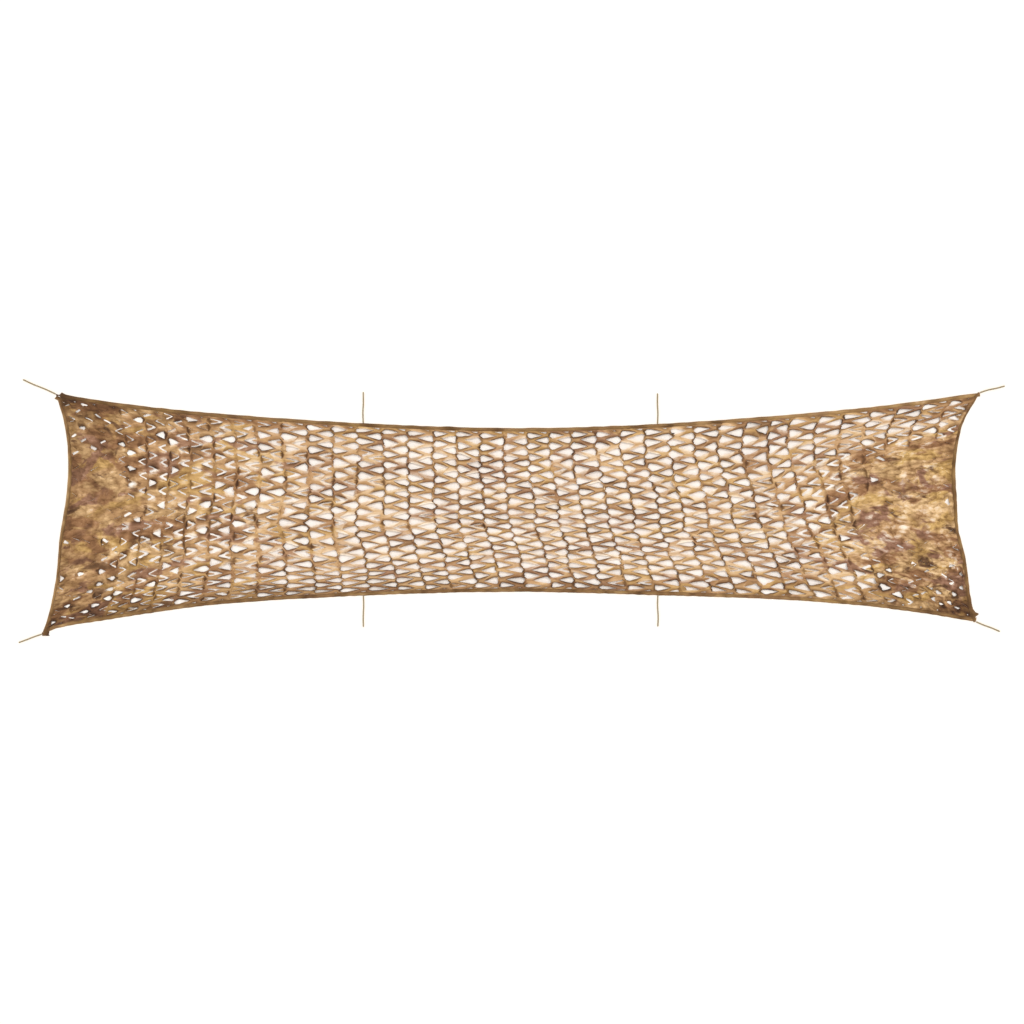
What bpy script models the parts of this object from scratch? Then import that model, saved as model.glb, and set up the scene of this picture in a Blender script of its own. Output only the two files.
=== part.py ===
"""Camouflage netting, 6.1 m by 1.57 m: one slit and stretched cloth that lies flat, and eight tie cords.

Metres, +Z up. +X runs along the netting, +Y across it, and the origin is the middle of its box on the
surface it lies on. The netting is one closed solid: a hem all round, a closed stretch at each end, and
between them a lattice of teardrop holes that point right and left by turns. The cloth between the holes
is turned on edge, so the upper rim of each hole stands up and the lower rim lies down.
"""
import math
from collections import namedtuple

import bpy
import numpy as np

# Cloth
CLOTH_THICKNESS = 0.002
HEM_THICKNESS = 0.004
HEM_WIDTH = 0.025
HEM_STEP = 0.002          # width of the slope from the hem's top down to the cloth

# Lattice of holes: PERIODS pairs of columns along the netting, ROWS holes across it
PERIODS = 16
ROWS = 8
FIRST_COLUMN = 0.050      # where the lattice starts and ends, as a share of the length
LAST_COLUMN = 0.943
COLUMN_SWING = 0.06       # zigzag of the line of blunt hole ends, in hole lengths
TIP_SWING = 0.16          # zigzag of the line of hole tips, in hole lengths
HALF_HOLE = 0.5           # size of the holes beside the hem, as a share of their cell
RELIEF = 0.026            # height of the highest rim over the surface
RELIEF_SPREAD = 0.2       # how much the relief varies from hole to hole, as a share of it
RELIEF_TURN = (2.1, 1.3)  # radians by which that variation turns from one column and one row to the next
RELIEF_BEAT = (0.7, -0.9)  # the same, of its slower beat

# Closed ends
END_STRIPS = 3
END_FOLD = 0.007
END_FOLD_TURN = (2.4, 1.9)  # radians by which the folds turn from one strip and one row to the next

# Tie cords
TIE_RADIUS = 0.004
TIE_POINTS = 16
TIE_BEVEL_STEPS = 2

# Long edges, left to right
Edge = namedtuple("Edge", "x y")
UPPER_EDGE = [Edge(-2.960, 0.775), Edge(-2.300, 0.687), Edge(-1.500, 0.619), Edge(-0.700, 0.574),
              Edge(0.060, 0.555), Edge(0.800, 0.574), Edge(1.600, 0.625), Edge(2.400, 0.698),
              Edge(3.050, 0.785)]
LOWER_EDGE = [Edge(-3.050, -0.785), Edge(-2.960, -0.751), Edge(-2.600, -0.689), Edge(-2.000, -0.602),
              Edge(-1.200, -0.547), Edge(-0.070, -0.511), Edge(0.900, -0.531), Edge(1.900, -0.570),
              Edge(2.500, -0.624), Edge(3.025, -0.705)]

# Short ends, from the lower edge (across 0) to the upper edge (across 1)
End = namedtuple("End", "across x")
LEFT_END = [End(0.00, -3.050), End(0.06, -3.011), End(0.23, -2.959), End(0.40, -2.933), End(0.56, -2.894),
            End(0.73, -2.881), End(0.90, -2.913), End(1.00, -2.960)]
RIGHT_END = [End(0.00, 3.025), End(0.10, 2.992), End(0.27, 2.959), End(0.40, 2.914), End(0.55, 2.900),
             End(0.70, 2.894), End(0.88, 2.946), End(1.00, 3.050)]

# How far a column's lower end stands right of its upper end, along the netting
Lean = namedtuple("Lean", "along shift")
LEANS = [Lean(0.00, 0.00), Lean(0.10, 0.02), Lean(0.20, 0.09), Lean(0.35, 0.15), Lean(0.50, 0.20),
         Lean(0.65, 0.30), Lean(0.82, 0.34), Lean(1.00, 0.00)]

# How far the holes are pulled open along the netting, as a share of the row's height
Pull = namedtuple("Pull", "along open")
PULLS = [Pull(0.00, 0.30), Pull(0.12, 0.42), Pull(0.35, 0.76), Pull(0.60, 0.80), Pull(0.82, 0.72),
         Pull(1.00, 0.36)]

# One hole, anticlockwise from its blunt end: along in hole lengths, up in half heights, rise in reliefs
Rim = namedtuple("Rim", "along up rise")
TEARDROP = [Rim(0.05, 0.00, 0.35), Rim(0.16, -1.00, 0.00), Rim(0.58, -0.66, 0.15), Rim(1.00, 0.00, 0.70),
            Rim(0.58, 0.66, 1.00), Rim(0.16, 1.00, 0.60)]
TIP_RISE = 0.5            # rise of the line of hole tips, in reliefs

# Tie cords, from the hem to the free end
Route = namedtuple("Route", "name points")
TIES = [
    Route("tie_upper_left_corner", [(-2.9606, 0.7755), (-3.030, 0.808), (-3.105, 0.838), (-3.176, 0.871)]),
    Route("tie_lower_left_corner", [(-3.0506, -0.7853), (-3.102, -0.803), (-3.156, -0.824),
                                    (-3.203, -0.841)]),
    Route("tie_upper_right_corner", [(3.0506, 0.7853), (3.106, 0.803), (3.160, 0.814), (3.214, 0.829)]),
    Route("tie_lower_right_corner", [(3.0256, -0.7053), (3.076, -0.727), (3.131, -0.747), (3.182, -0.769)]),
    Route("tie_upper_left_side", [(-0.961, 0.5865), (-0.963, 0.655), (-0.960, 0.722), (-0.961, 0.790)]),
    Route("tie_lower_left_side", [(-0.960, -0.5360), (-0.958, -0.604), (-0.961, -0.672), (-0.960, -0.740)]),
    Route("tie_upper_right_side", [(0.954, 0.5822), (0.956, 0.649), (0.953, 0.715), (0.954, 0.781)]),
    Route("tie_lower_right_side", [(0.956, -0.5330), (0.954, -0.601), (0.958, -0.669), (0.956, -0.737)]),
]


def smooth(stations, at):
    """Value at a place on the smooth curve through (place, value) stations, with chord slopes at each."""
    places = np.array([station[0] for station in stations])
    values = np.array([station[1] for station in stations])
    chords = np.diff(values) / np.diff(places)
    slopes = np.concatenate(([chords[0]], 0.5 * (chords[1:] + chords[:-1]), [chords[-1]]))
    span = int(np.clip(np.searchsorted(places, at) - 1, 0, len(places) - 2))
    width = places[span + 1] - places[span]
    share = (at - places[span]) / width
    start = (1 + 2 * share) * (1 - share) ** 2 * values[span]
    end = share ** 2 * (3 - 2 * share) * values[span + 1]
    turn = share * (1 - share) * width * ((1 - share) * slopes[span] - share * slopes[span + 1])
    return float(start + end + turn)


def place(along, across, inset):
    """Plan position of a share of the length and width, on an outline drawn in by inset all round."""
    left = smooth(LEFT_END, across) + inset
    right = smooth(RIGHT_END, across) - inset
    x = left + (right - left) * along + smooth(LEANS, along) * (0.5 - across)
    lower = smooth(LOWER_EDGE, x) + inset
    upper = smooth(UPPER_EDGE, x) - inset
    return x, lower + (upper - lower) * across


class Sheet:
    """Triangles of a sheet seen from above; every point has an underside height and a thickness."""

    def __init__(self):
        self.points = []
        self.shares = []
        self.triangles = []
        self.known = {}

    def point(self, key, along, across, inset=HEM_WIDTH, rise=0.0, thickness=CLOTH_THICKNESS):
        """Number of the point with this key, made at the first call."""
        if key not in self.known:
            x, y = place(along, across, inset)
            self.known[key] = len(self.points)
            self.points.append((x, y, rise, thickness))
            self.shares.append((along, across))
        return self.known[key]

    def quad(self, a, b, c, d):
        """Two triangles over four points, anticlockwise."""
        self.triangles.append((a, b, c))
        self.triangles.append((a, c, d))

    def ring(self, hole, cell):
        """Cloth between a hole and its cell, two loops of as many points, both anticlockwise."""
        for i in range(len(hole)):
            after = (i + 1) % len(hole)
            self.quad(cell[i], cell[after], hole[after], hole[i])

    def solid(self):
        """Closed solid: the sheet, its copy one thickness higher, and a wall along each open edge."""
        under = [(x, y, z) for x, y, z, thickness in self.points]
        over = [(x, y, z + thickness) for x, y, z, thickness in self.points]
        count = len(under)
        faces = [(c, b, a) for a, b, c in self.triangles]
        faces += [(a + count, b + count, c + count) for a, b, c in self.triangles]
        sides = {(a, b) for face in self.triangles for a, b in zip(face, face[1:] + face[:1])}
        for a, b in sorted(sides):
            if (b, a) not in sides:
                faces.append((a, b, b + count, a + count))
        return under + over, faces


HALF_ROWS = 2 * ROWS
HOLE_LENGTH = (LAST_COLUMN - FIRST_COLUMN) / (2 * PERIODS)


def unevenness(column, row):
    """Share of the full relief at a place of the lattice, between 1 - 2 * RELIEF_SPREAD and 1."""
    turn = math.sin(RELIEF_TURN[0] * column + RELIEF_TURN[1] * row)
    beat = math.cos(RELIEF_BEAT[0] * column + RELIEF_BEAT[1] * row)
    return 1.0 - RELIEF_SPREAD + RELIEF_SPREAD * turn * beat


def at_hem(row):
    """Whether a half row is the line where the cloth meets the hem."""
    return row in (0, HALF_ROWS)


def column_point(sheet, column, row):
    """Point on the zigzag line of blunt hole ends; it rests on the surface."""
    swing = COLUMN_SWING if row % 2 == 0 else -COLUMN_SWING
    along = FIRST_COLUMN + (2 * column + swing) * HOLE_LENGTH
    return sheet.point(("column", column, row), along, row / HALF_ROWS)


def tip_point(sheet, column, row):
    """Point on the zigzag line of hole tips, halfway between two columns; it stands up."""
    swing = -TIP_SWING if row % 2 == 0 else TIP_SWING
    along = FIRST_COLUMN + (2 * column + 1 + swing) * HOLE_LENGTH
    rise = 0.0 if at_hem(row) else TIP_RISE * RELIEF * unevenness(column, row)
    return sheet.point(("tip", column, row), along, row / HALF_ROWS, rise=rise)


def teardrop(sheet, column, row, direction):
    """Rim of one hole whose blunt end is at a column, pointing right (1) or left (-1)."""
    loop = []
    for step, rim in enumerate(TEARDROP):
        along = FIRST_COLUMN + (2 * column + direction * rim.along) * HOLE_LENGTH
        across = (row + rim.up * smooth(PULLS, along)) / HALF_ROWS
        rise = rim.rise * RELIEF * unevenness(column, row)
        loop.append(sheet.point(("rim", column, row, direction, step), along, across, rise=rise))
    return loop


def add_right_hole(sheet, column, row):
    """Six-sided cell with a hole that points right, between a column and the tips after it."""
    cell = [column_point(sheet, column, row), column_point(sheet, column, row - 1),
            tip_point(sheet, column, row - 1), tip_point(sheet, column, row),
            tip_point(sheet, column, row + 1), column_point(sheet, column, row + 1)]
    sheet.ring(teardrop(sheet, column, row, 1), cell)


def add_left_hole(sheet, column, row):
    """The mirrored cell, between a column and the tips before it."""
    cell = [column_point(sheet, column, row), column_point(sheet, column, row - 1),
            tip_point(sheet, column - 1, row - 1), tip_point(sheet, column - 1, row),
            tip_point(sheet, column - 1, row + 1), column_point(sheet, column, row + 1)]
    sheet.ring(teardrop(sheet, column, row, -1)[::-1], cell[::-1])


def add_hem_hole(sheet, column, row):
    """Four-sided half cell beside the hem, with a hole of its own shape drawn in to its middle."""
    inner = 1 if row == 0 else row - 1
    cell = [tip_point(sheet, column, row), column_point(sheet, column + 1, row),
            column_point(sheet, column + 1, inner), tip_point(sheet, column, inner)]
    shares = np.array([sheet.shares[corner] for corner in cell])
    middle = shares.mean(axis=0)
    hole = []
    for step, share in enumerate(middle + HALF_HOLE * (shares - middle)):
        rise = 0.5 * sheet.points[cell[step]][2]
        hole.append(sheet.point(("half", column, row, step), share[0], share[1], rise=rise))
    if row == 0:
        sheet.ring(hole, cell)
    else:
        sheet.ring(hole[::-1], cell[::-1])


def end_point(sheet, side, strip, row):
    """Point of a closed end: strip 0 is at the hem and the last strip is at the first column."""
    column = 0 if side == "left" else PERIODS
    if strip == END_STRIPS:
        return column_point(sheet, column, row)
    hem = 0.0 if side == "left" else 1.0
    swing = COLUMN_SWING if row % 2 == 0 else -COLUMN_SWING
    lattice = FIRST_COLUMN + (2 * column + swing) * HOLE_LENGTH
    along = hem + (lattice - hem) * strip / END_STRIPS
    fold = 0.0
    if strip > 0 and not at_hem(row):
        fold = 0.5 * END_FOLD * (1.0 + math.sin(END_FOLD_TURN[0] * strip + END_FOLD_TURN[1] * row))
    return sheet.point((side, strip, row), along, row / HALF_ROWS, rise=fold)


def add_end(sheet, side):
    """Closed stretch of cloth between the hem and the first or last column, in low folds."""
    for strip in range(END_STRIPS):
        for row in range(HALF_ROWS):
            near = end_point(sheet, side, strip, row)
            far = end_point(sheet, side, strip + 1, row)
            far_up = end_point(sheet, side, strip + 1, row + 1)
            near_up = end_point(sheet, side, strip, row + 1)
            if side == "left":
                sheet.quad(near, far, far_up, near_up)
            else:
                sheet.quad(far, near, near_up, far_up)


def hem_line(sheet, row):
    """Points from left to right where the cloth meets the lower (row 0) or the upper hem."""
    line = [end_point(sheet, "left", strip, row) for strip in range(END_STRIPS)]
    for column in range(PERIODS):
        line += [column_point(sheet, column, row), tip_point(sheet, column, row)]
    return line + [end_point(sheet, "right", strip, row) for strip in range(END_STRIPS, -1, -1)]


def add_hem(sheet):
    """Hem all round: a slope up from the cloth, then a flat doubled band out to the edge."""
    lower = hem_line(sheet, 0)
    upper = hem_line(sheet, HALF_ROWS)
    right = [end_point(sheet, "right", 0, row) for row in range(1, HALF_ROWS)]
    left = [end_point(sheet, "left", 0, row) for row in range(1, HALF_ROWS)]
    inner = lower + right + upper[::-1] + left[::-1]
    fold = []
    edge = []
    for point in inner:
        along, across = sheet.shares[point]
        fold.append(sheet.point(("fold", point), along, across, HEM_WIDTH - HEM_STEP, 0.0, HEM_THICKNESS))
        edge.append(sheet.point(("edge", point), along, across, 0.0, 0.0, HEM_THICKNESS))
    sheet.ring(inner, fold)
    sheet.ring(fold, edge)


def plain_material(name, colour, roughness):
    """Principled material of one colour."""
    material = bpy.data.materials.new(name)
    material.use_nodes = True
    shader = material.node_tree.nodes["Principled BSDF"]
    shader.inputs["Base Color"].default_value = (*colour, 1.0)
    shader.inputs["Roughness"].default_value = roughness
    shader.inputs["Metallic"].default_value = 0.0
    return material


def build_netting(material):
    """The cloth with its hem, one solid."""
    sheet = Sheet()
    for column in range(PERIODS):
        for row in range(1, HALF_ROWS, 2):
            add_right_hole(sheet, column, row)
        for row in range(2, HALF_ROWS, 2):
            add_left_hole(sheet, column + 1, row)
        add_hem_hole(sheet, column, 0)
        add_hem_hole(sheet, column, HALF_ROWS)
    add_end(sheet, "left")
    add_end(sheet, "right")
    add_hem(sheet)
    points, faces = sheet.solid()
    mesh = bpy.data.meshes.new("netting")
    mesh.from_pydata(points, [], faces)
    mesh.materials.append(material)
    netting = bpy.data.objects.new("netting", mesh)
    bpy.context.scene.collection.objects.link(netting)


def build_tie(route, material):
    """A round cord lying on the surface, on the smooth curve through its route."""
    steps = np.linspace(0.0, 1.0, len(route.points))
    along_x = [(step, point[0]) for step, point in zip(steps, route.points)]
    along_y = [(step, point[1]) for step, point in zip(steps, route.points)]
    curve = bpy.data.curves.new(route.name, "CURVE")
    curve.dimensions = "3D"
    curve.bevel_depth = TIE_RADIUS
    curve.bevel_resolution = TIE_BEVEL_STEPS
    curve.use_fill_caps = True
    spline = curve.splines.new("POLY")
    spline.points.add(TIE_POINTS - 1)
    for point, share in zip(spline.points, np.linspace(0.0, 1.0, TIE_POINTS)):
        point.co = (smooth(along_x, share), smooth(along_y, share), TIE_RADIUS, 1.0)
    curve.materials.append(material)
    tie = bpy.data.objects.new(route.name, curve)
    bpy.context.scene.collection.objects.link(tie)


def main():
    """Clear the scene and build the netting and its ties."""
    for thing in list(bpy.data.objects):
        bpy.data.objects.remove(thing)
    build_netting(plain_material("camouflage_cloth", (0.42, 0.28, 0.15), 0.85))
    cord = plain_material("tie_cord", (0.62, 0.52, 0.37), 0.80)
    for route in TIES:
        build_tie(route, cord)


main()
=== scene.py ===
import math

import bpy
import numpy as np
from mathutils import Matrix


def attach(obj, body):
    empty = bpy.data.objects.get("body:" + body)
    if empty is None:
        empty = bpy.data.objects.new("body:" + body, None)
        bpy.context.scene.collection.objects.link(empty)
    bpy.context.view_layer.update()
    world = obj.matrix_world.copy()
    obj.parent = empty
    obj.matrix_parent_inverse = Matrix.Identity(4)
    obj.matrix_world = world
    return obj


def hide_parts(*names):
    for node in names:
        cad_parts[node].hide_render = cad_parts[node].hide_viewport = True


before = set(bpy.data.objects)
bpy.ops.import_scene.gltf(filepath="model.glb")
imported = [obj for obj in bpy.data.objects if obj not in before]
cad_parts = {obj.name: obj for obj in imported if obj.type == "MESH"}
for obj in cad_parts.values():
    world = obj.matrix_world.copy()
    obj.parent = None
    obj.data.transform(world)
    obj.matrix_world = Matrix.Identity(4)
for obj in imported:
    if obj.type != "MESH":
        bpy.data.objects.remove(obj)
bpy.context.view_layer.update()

# -------- sizes, in metres
HALF_LENGTH = 2.96        # of the netting along its middle
HEM_WIDTH = 0.025
HEM_OVERLAP = 0.005       # how far the cloth runs in under its hem
PERIODS = 38              # pairs of hole columns along the netting
ROWS = 16                 # holes across it
HALF_ROWS = 2 * ROWS
FLAT_PERIOD = 0.140       # of the cloth before it was pulled open
FLAT_ROW = 1.41 / ROWS
COLUMN_SWING = 0.12       # zigzag of the line of blunt hole ends, in hole lengths
TIP_SWING = 0.12          # zigzag of the line of hole tips, in hole lengths, where the cloth is closed
TIP_PULL = 0.28           # and how much that grows where it is pulled open
COLUMN_LIFT = 0.009       # how far pulled cloth stands up, at the column lines and at the tip lines
TIP_LIFT = 0.014
NODE_SHIFT = 0.090        # how unevenly the lattice's nodes lie, in half periods and in half rows
NODE_RISE = 0.085
CLOTH_REST = 0.0035       # height over the floor from which the lattice's nodes rise
CLOTH_LOWEST = 0.0015     # no part of the cloth lies lower
HEM_INSIDE = 0.002        # height at which the cloth runs in under its hem
TIE_RADIUS = 0.004
SEED = 41

# Long edges, left to right (x, y)
UPPER_EDGE = [(-2.960, 0.775), (-2.300, 0.687), (-1.500, 0.619), (-0.700, 0.574), (0.060, 0.555),
              (0.800, 0.574), (1.600, 0.625), (2.400, 0.698), (3.050, 0.785)]
LOWER_EDGE = [(-3.050, -0.785), (-2.960, -0.751), (-2.600, -0.689), (-2.000, -0.602), (-1.200, -0.547),
              (-0.070, -0.511), (0.900, -0.531), (1.900, -0.570), (2.500, -0.624), (3.025, -0.705)]
# Short ends, bottom to top (share of the width, x)
LEFT_END = [(0.00, -3.050), (0.06, -3.011), (0.23, -2.959), (0.40, -2.933), (0.56, -2.894),
            (0.73, -2.881), (0.90, -2.913), (1.00, -2.960)]
RIGHT_END = [(0.00, 3.025), (0.10, 2.992), (0.27, 2.959), (0.40, 2.914), (0.55, 2.900), (0.70, 2.894),
             (0.88, 2.946), (1.00, 3.050)]
# Share of the length and how wide a hole period is there, in any unit
PERIOD_WIDTHS = [(0.000, 18.0), (0.05, 19.6), (0.10, 21.2), (0.20, 24.0), (0.32, 25.4), (0.51, 25.0),
                 (0.71, 24.5), (0.88, 23.0), (0.95, 20.5), (1.00, 18.5)]
# Share of the length and how far the top and the bottom of a column stand right of its middle
LEAN_TOP = [(0.00, 0.00), (0.12, 0.00), (0.27, -0.010), (0.38, -0.020), (0.47, -0.060), (0.59, -0.145),
            (0.75, -0.165), (0.88, -0.165), (0.96, -0.080), (1.00, 0.00)]
LEAN_BOTTOM = [(0.00, 0.00), (0.12, 0.010), (0.20, 0.065), (0.27, 0.115), (0.38, 0.150), (0.47, 0.130),
               (0.59, 0.100), (0.75, 0.155), (0.88, 0.160), (0.96, 0.060), (1.00, 0.00)]
# Half-row and how far it lies from an even share of the width, at the left end, in the middle and at
# the right end
ROWS_LEFT = [(0, 0.0), (1, -0.013), (5, -0.050), (7, -0.066), (11, -0.062), (15, -0.049), (19, -0.032),
             (23, -0.014), (27, 0.003), (31, 0.006), (32, 0.0)]
ROWS_MIDDLE = [(0, 0.0), (1, -0.010), (3, -0.004), (7, -0.010), (9, -0.020), (13, -0.033), (17, -0.042),
               (21, -0.038), (25, -0.024), (29, -0.006), (31, 0.004), (32, 0.0)]
ROWS_RIGHT = [(0, 0.0), (6, -0.004), (10, -0.002), (14, 0.018), (18, 0.046), (22, 0.066), (26, 0.050),
              (30, 0.018), (32, 0.0)]
# Ties: name, where each leaves the hem and its route
TIES = [
    ("tie_upper_left_corner", [(-2.9606, 0.7755), (-3.030, 0.808), (-3.105, 0.838), (-3.176, 0.871)]),
    ("tie_lower_left_corner", [(-3.0506, -0.7853), (-3.102, -0.803), (-3.156, -0.824), (-3.203, -0.841)]),
    ("tie_upper_right_corner", [(3.0506, 0.7853), (3.106, 0.803), (3.160, 0.814), (3.214, 0.829)]),
    ("tie_lower_right_corner", [(3.0256, -0.7053), (3.076, -0.727), (3.131, -0.747), (3.182, -0.769)]),
    ("tie_upper_left_side", [(-0.961, 0.5865), (-0.963, 0.655), (-0.960, 0.722), (-0.961, 0.790)]),
    ("tie_lower_left_side", [(-0.960, -0.5360), (-0.958, -0.604), (-0.961, -0.672), (-0.960, -0.740)]),
    ("tie_upper_right_side", [(0.954, 0.5822), (0.956, 0.649), (0.953, 0.715), (0.954, 0.781)]),
    ("tie_lower_right_side", [(0.956, -0.5330), (0.954, -0.601), (0.958, -0.669), (0.956, -0.737)]),
]


# -------- camera
def new_object(name, data):
    """An object in the scene, at the origin, which holds this data."""
    made = bpy.data.objects.new(name, data)
    bpy.context.scene.collection.objects.link(made)
    return made


def add_camera():
    """A long lens straight above the netting."""
    camera = bpy.data.cameras.new("camera")
    camera.lens = 100.0
    camera.sensor_width = 36.0
    camera.clip_end = 200.0
    holder = new_object("camera", camera)
    holder.location = (0.0068, 0.0087, 18.51)
    bpy.context.scene.camera = holder


add_camera()


# -------- helpers
def smooth(stations, at):
    """Smooth curve through (place, value) stations, a cubic in each span with chord-average slopes."""
    places, values = np.array(stations, float).T
    chords = np.diff(values) / np.diff(places)
    slopes = np.concatenate(([chords[0]], 0.5 * (chords[1:] + chords[:-1]), [chords[-1]]))
    at = np.asarray(at, float)
    span = np.clip(np.searchsorted(places, at) - 1, 0, len(places) - 2)
    width = places[span + 1] - places[span]
    share = (at - places[span]) / width
    start = (1 + 2 * share) * (1 - share) ** 2 * values[span]
    end = share ** 2 * (3 - 2 * share) * values[span + 1]
    turn = share * (1 - share) * width * ((1 - share) * slopes[span] - share * slopes[span + 1])
    return start + end + turn


def ramp(value, low, high):
    """0 below low, 1 above high, and an S-curve between them."""
    share = np.clip((value - low) / (high - low), 0.0, 1.0)
    return share * share * (3.0 - 2.0 * share)


def distances(x, y):
    """Distance along a path at each of its points."""
    return np.concatenate(([0.0], np.cumsum(np.hypot(np.diff(x), np.diff(y)))))


def left_of(x, y):
    """Unit vectors to the left of a path at each of its points."""
    dx, dy = np.gradient(x), np.gradient(y)
    size = np.hypot(dx, dy)
    return np.stack([-dy / size, dx / size], axis=1)


def band_faces(count, sides):
    """Quads of a band or tube of this many loops, each with this many points."""
    i = np.arange(count - 1)[:, None] * sides
    j = np.arange(sides)
    k = (j + 1) % sides
    return np.stack([i + j, i + k, i + sides + k, i + sides + j], axis=2).reshape(-1, 4)


def ripple(x, y, waves):
    """Sum of plane sine waves (wavelength, direction in radians, turn), scaled to about -1 to 1."""
    total = np.zeros_like(np.asarray(x, float))
    for length, direction, turn in waves:
        total += np.sin(2 * math.pi * (x * math.cos(direction) + y * math.sin(direction)) / length + turn)
    return total / math.sqrt(len(waves))


def waves_of(count, shortest, longest, seed):
    """Seeded waves for ripple, with lengths spread evenly in octaves."""
    rng = np.random.default_rng(seed)
    lengths = shortest * (longest / shortest) ** rng.random(count)
    return list(zip(lengths, rng.random(count) * math.pi, rng.random(count) * 2 * math.pi))


def place(along, across, inset):
    """Plan position of a share of the length and width, on an outline drawn in by inset all round."""
    left = smooth(LEFT_END, across) + inset
    right = smooth(RIGHT_END, across) - inset
    up = 2.0 * across - 1.0
    lean = (smooth(LEAN_TOP, along) * np.clip(up, 0, 1) ** 1.15
            + smooth(LEAN_BOTTOM, along) * np.clip(-up, 0, 1) ** 1.3)
    x = left + (right - left) * along + lean
    lower = smooth(LOWER_EDGE, x) + inset
    upper = smooth(UPPER_EDGE, x) - inset
    return x, lower + (upper - lower) * across


def share_at(x):
    """Share of the length at a place along the netting's middle."""
    return (x + HALF_LENGTH) / (2.0 * HALF_LENGTH)


def along_of(half_period):
    """Share of the length at a lattice coordinate, where periods are as wide as PERIOD_WIDTHS says."""
    shares = np.linspace(0.0, 1.0, 401)
    density = 1.0 / smooth(PERIOD_WIDTHS, shares)
    count = np.concatenate(([0.0], np.cumsum(0.5 * (density[1:] + density[:-1]))))
    return np.interp(np.asarray(half_period) / (2.0 * PERIODS), count / count[-1], shares)


def across_of(half_row, along):
    """Share of the width at a lattice coordinate: an even share, moved by ROWS_LEFT, ROWS_MIDDLE and
    ROWS_RIGHT with a blend between them, because the rows aren't equally far apart."""
    left = smooth(ROWS_LEFT, half_row)
    middle = smooth(ROWS_MIDDLE, half_row)
    right = smooth(ROWS_RIGHT, half_row)
    moved = left + (middle - left) * ramp(along, 0.30, 0.48) + (right - middle) * ramp(along, 0.78, 0.92)
    return half_row / HALF_ROWS + moved


def mesh_object(name, points, faces, material):
    """A mesh object at the origin from arrays of points and lists of faces."""
    mesh = bpy.data.meshes.new(name)
    mesh.from_pydata(np.asarray(points).tolist(), [], faces)
    mesh.materials.append(material)
    mesh.polygons.foreach_set("use_smooth", np.full(len(mesh.polygons), True))
    mesh.update()
    return new_object(name, mesh)


def set_uv(mesh, name, per_point):
    """UV map from a value at each point."""
    layer = mesh.uv_layers.new(name=name)
    corners = np.zeros(len(mesh.loops), dtype=np.int64)
    mesh.loops.foreach_get("vertex_index", corners)
    layer.data.foreach_set("uv", np.asarray(per_point, np.float32)[corners].ravel())


def set_value(mesh, name, per_point):
    """Number at each point, which a material reads by name."""
    layer = mesh.attributes.new(name, "FLOAT", "POINT")
    layer.data.foreach_set("value", np.asarray(per_point, np.float32))


# -------- materials
def feed(tree, made, inputs):
    """Gives a node its inputs, each a number, a colour or another node's output."""
    for key, value in inputs.items():
        if isinstance(value, bpy.types.NodeSocket):
            tree.links.new(value, made.inputs[key])
        else:
            made.inputs[key].default_value = value


def new_material(name, roughness):
    """Principled material; returns it with its tree and its shader."""
    material = bpy.data.materials.new(name)
    material.use_nodes = True
    tree = material.node_tree
    shader = tree.nodes["Principled BSDF"]
    feed(tree, shader, {"Roughness": roughness, "Specular IOR Level": 0.2})
    return material, tree, shader


def node(tree, kind, inputs=(), **settings):
    """A node with its settings and its inputs."""
    made = tree.nodes.new("ShaderNode" + kind)
    for key, value in settings.items():
        setattr(made, key, value)
    feed(tree, made, dict(inputs))
    return made


def mix_colour(tree, share, first, second, blend="MIX"):
    """Mixed colour output of two colours."""
    settings = {"data_type": "RGBA", "blend_type": blend, "clamp_factor": True}
    return node(tree, "Mix", {0: share, 6: first, 7: second}, **settings).outputs[2]


def math_node(tree, operation, first, second=0.0, third=0.0):
    """Output of a Math node."""
    return node(tree, "Math", {0: first, 1: second, 2: third}, operation=operation).outputs[0]


def noise_node(tree, vector, scale, detail, roughness=0.5, distortion=0.0):
    """Noise texture with these settings."""
    return node(tree, "TexNoise", {"Vector": vector, "Scale": scale, "Detail": detail,
                                   "Roughness": roughness, "Distortion": distortion})


def range_node(tree, value, low, high, to_low=0.0, to_high=1.0):
    """A value moved from the range low to high into the range to_low to to_high."""
    return node(tree, "MapRange", {"Value": value, "From Min": low, "From Max": high,
                                   "To Min": to_low, "To Max": to_high}).outputs[0]


def linear(red, green, blue):
    """Colour from its 0 to 255 screen values."""
    values = np.array([red, green, blue]) / 255.0
    straight = np.where(values <= 0.04045, values / 12.92, ((values + 0.055) / 1.055) ** 2.4)
    return (*straight.tolist(), 1.0)


SAND = linear(226, 188, 138)
TAN = linear(200, 158, 112)
OCHRE = linear(212, 172, 108)
BROWN = linear(164, 120, 82)
UMBER = linear(126, 92, 62)
MAUVE = linear(160, 118, 94)
OLIVE = linear(146, 118, 66)
FADED = linear(194, 151, 107)     # mean of the print, into which it fades where the cloth is open
CREAM = linear(250, 234, 212)     # painted highlight on lit edges of the cloth
# Colours printed over TAN, each over the ones before it: colour, scale of its patches (more is smaller),
# how far they are drawn out along the netting (less is longer), where in the noise they lie, and the
# two thresholds between which a patch has its edge
PRINT = [(SAND, 6.4, 0.45, (0.0, 0.0, 0.0), 0.46, 0.56),
         (OCHRE, 7.0, 0.45, (3.1, 1.7, 0.0), 0.52, 0.59),
         (BROWN, 6.8, 0.43, (7.3, 4.9, 0.0), 0.52, 0.575),
         (MAUVE, 7.4, 0.45, (1.9, 8.2, 0.0), 0.555, 0.605),
         (UMBER, 10.0, 0.50, (5.7, 2.4, 0.0), 0.60, 0.66)]
FADING = 0.38                     # how far the print fades where the cloth is pulled wide open
WEAVE = 160.0                     # scale of the weave's waves, for a thread every 2 mm


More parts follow.
